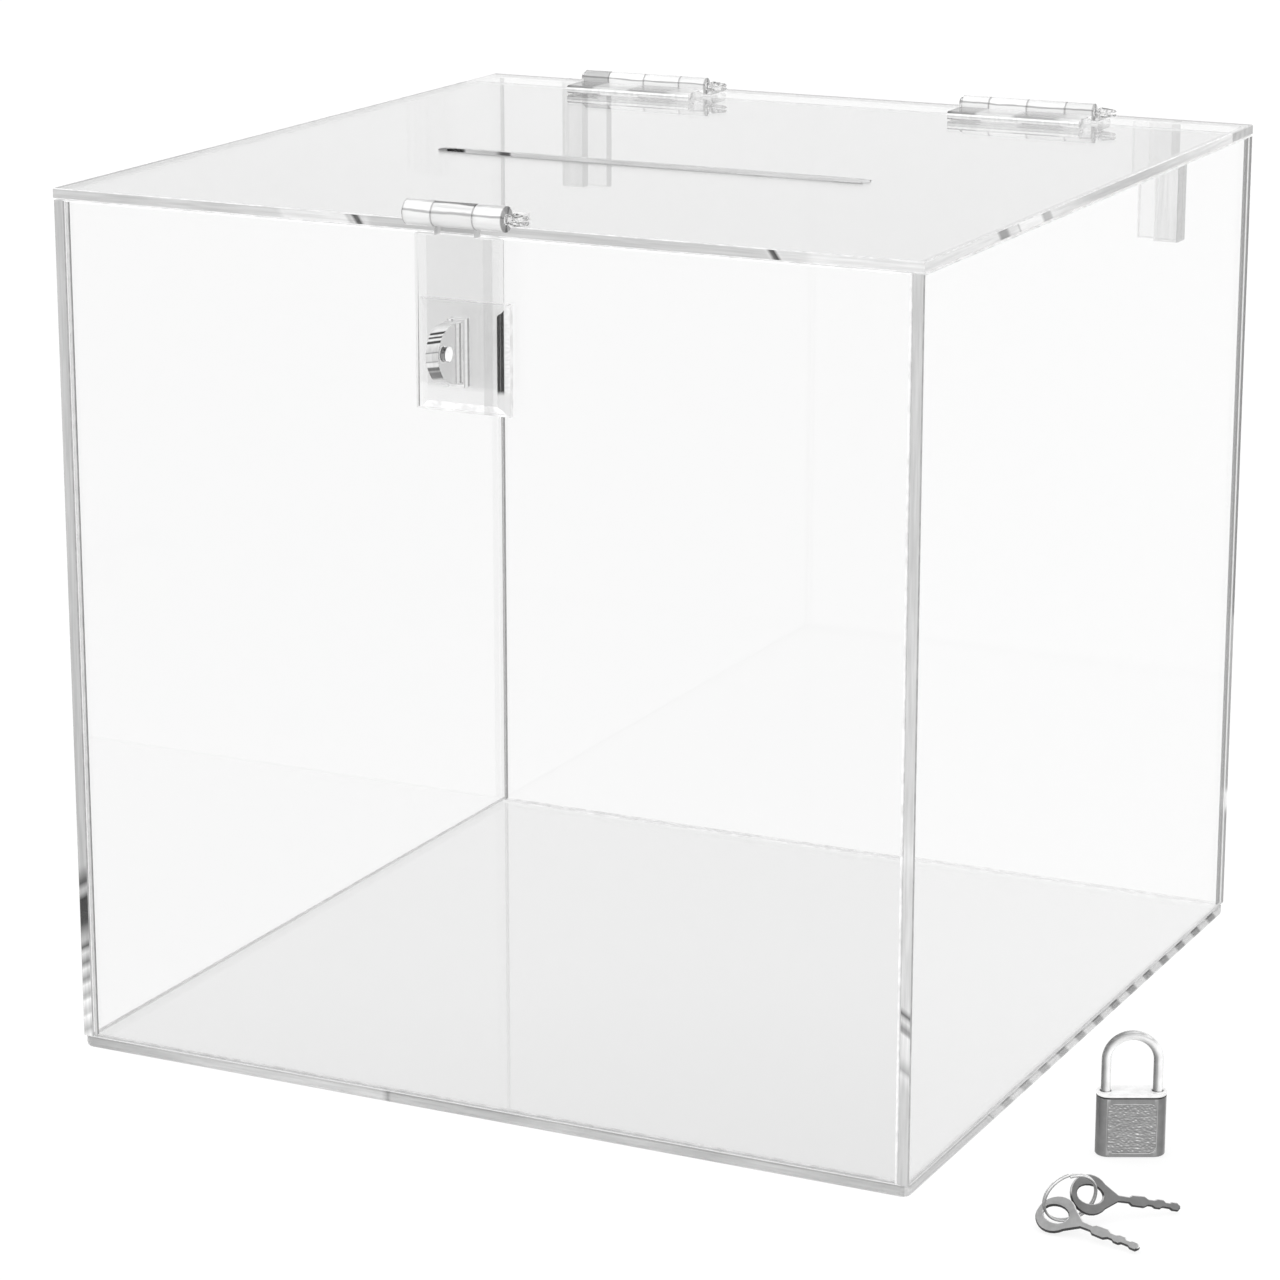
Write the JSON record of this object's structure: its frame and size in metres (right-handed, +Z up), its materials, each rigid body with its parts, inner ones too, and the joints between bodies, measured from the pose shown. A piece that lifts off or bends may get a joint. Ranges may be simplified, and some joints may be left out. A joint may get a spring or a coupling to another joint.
{
  "type": "donation box",
  "caption": "Clear acrylic cube with a slotted lid hinged at the rear, an acrylic hasp and staple in front, sign rails at the back, a small padlock and two keys on a ring.",
  "frame": {"origin": "centre of the box's underside, on the surface it stands on; the padlock and keys stand on the same surface to its right", "axes": "+Z up, -Y is the front with the hasp, +X is the right side wall, beside which the padlock and keys stand"},
  "size_m": [0.3848, 0.3383, 0.3035],
  "materials": {
    "acrylic_sheet": "clear cast acrylic sheet, polished edges",
    "acrylic_fitting": "clear moulded acrylic, polished",
    "case_steel": "satin grey plated case with a hammered panel",
    "bright_steel": "bright nickel plate",
    "brass": "machined",
    "spring_steel": "bare spring wire",
    "key_dark": "satin nickel, darker",
    "key_light": "satin nickel"
  },
  "bodies": {
    "box": {"floor_panel": "acrylic_sheet", "front_panel": "acrylic_sheet", "back_panel": "acrylic_sheet", "left_panel": "acrylic_sheet", "right_panel": "acrylic_sheet", "top_rear_strip": "acrylic_sheet", "sign_rail_left_spacer": "acrylic_fitting", "sign_rail_left_lip": "acrylic_fitting", "sign_rail_right_spacer": "acrylic_fitting", "sign_rail_right_lip": "acrylic_fitting", "hinge_left_body_leaf": "acrylic_fitting", "hinge_left_pin": "acrylic_fitting", "hinge_right_body_leaf": "acrylic_fitting", "hinge_right_pin": "acrylic_fitting", "hasp_pad": "acrylic_fitting", "hasp_staple": "acrylic_fitting"},
    "lid": {"lid": "acrylic_sheet", "hinge_left_lid_leaf": "acrylic_fitting", "hinge_right_lid_leaf": "acrylic_fitting", "hasp_lid_leaf": "acrylic_fitting", "hasp_pin": "acrylic_fitting"},
    "hasp_flap": {"hasp_flap": "acrylic_fitting"},
    "padlock": {"padlock_body": "case_steel", "padlock_top_plate": "bright_steel"},
    "padlock_plug": {"padlock_plug": "brass"},
    "padlock_bolt": {"padlock_bolt": "brass", "padlock_bolt_spring": "spring_steel"},
    "padlock_shackle": {"padlock_shackle": "bright_steel", "padlock_shackle_spring": "spring_steel"},
    "key_ring": {"key_ring": "bright_steel"},
    "key_1": {"key_1": "key_dark"},
    "key_2": {"key_2": "key_light"}
  },
  "joints": [
    {"name": "lid_hinge", "type": "hinge", "parent": "box", "child": "lid", "pos_m": [0, 0.12965, 0.3001], "axis": [-1, 0, 0], "range_deg": [0, 180]},
    {"name": "hasp_hinge", "type": "hinge", "parent": "lid", "child": "hasp_flap", "pos_m": [0, -0.1591, 0.2994], "axis": [-1, 0, 0], "range_deg": [0, 240]},
    {"name": "padlock_lift", "type": "slide", "parent": "box", "child": "padlock", "axis": [0, 0, 1], "range_m": [0, 0.06]},
    {"name": "plug_turn", "type": "hinge", "parent": "padlock", "child": "padlock_plug", "pos_m": [0.2013, -0.0856, 0.005], "axis": [0, 0, 1], "range_deg": [0, 90]},
    {"name": "bolt_draw", "type": "slide", "parent": "padlock", "child": "padlock_bolt", "axis": [-0.898, -0.4399, 0], "range_m": [0, 0.00301], "deforming": ["padlock_bolt_spring"]},
    {"name": "shackle_rise", "type": "slide", "parent": "padlock", "child": "padlock_shackle", "axis": [0, 0, 1], "range_m": [0, 0.0085], "deforming": ["padlock_shackle_spring"]},
    {"name": "ring_lift", "type": "slide", "parent": "box", "child": "key_ring", "axis": [0, 0, 1], "range_m": [0, 0.06]},
    {"name": "key_1_swing", "type": "hinge", "parent": "key_ring", "child": "key_1", "pos_m": [0.21006, -0.14299, 0.00757], "axis": [0.3279, -0.0252, 0.9444], "range_deg": [0, 80]},
    {"name": "key_2_swing", "type": "hinge", "parent": "key_ring", "child": "key_2", "pos_m": [0.19886, -0.15351, 0.0044], "axis": [-0.2588, -0.9659, 0], "range_deg": [0, 60]}
  ],
  "couplings": [
    {"joint": "plug_turn", "follows": "shackle_rise", "rad_per_m": 184.79},
    {"joint": "bolt_draw", "follows": "shackle_rise", "ratio": 0.353}
  ]
}
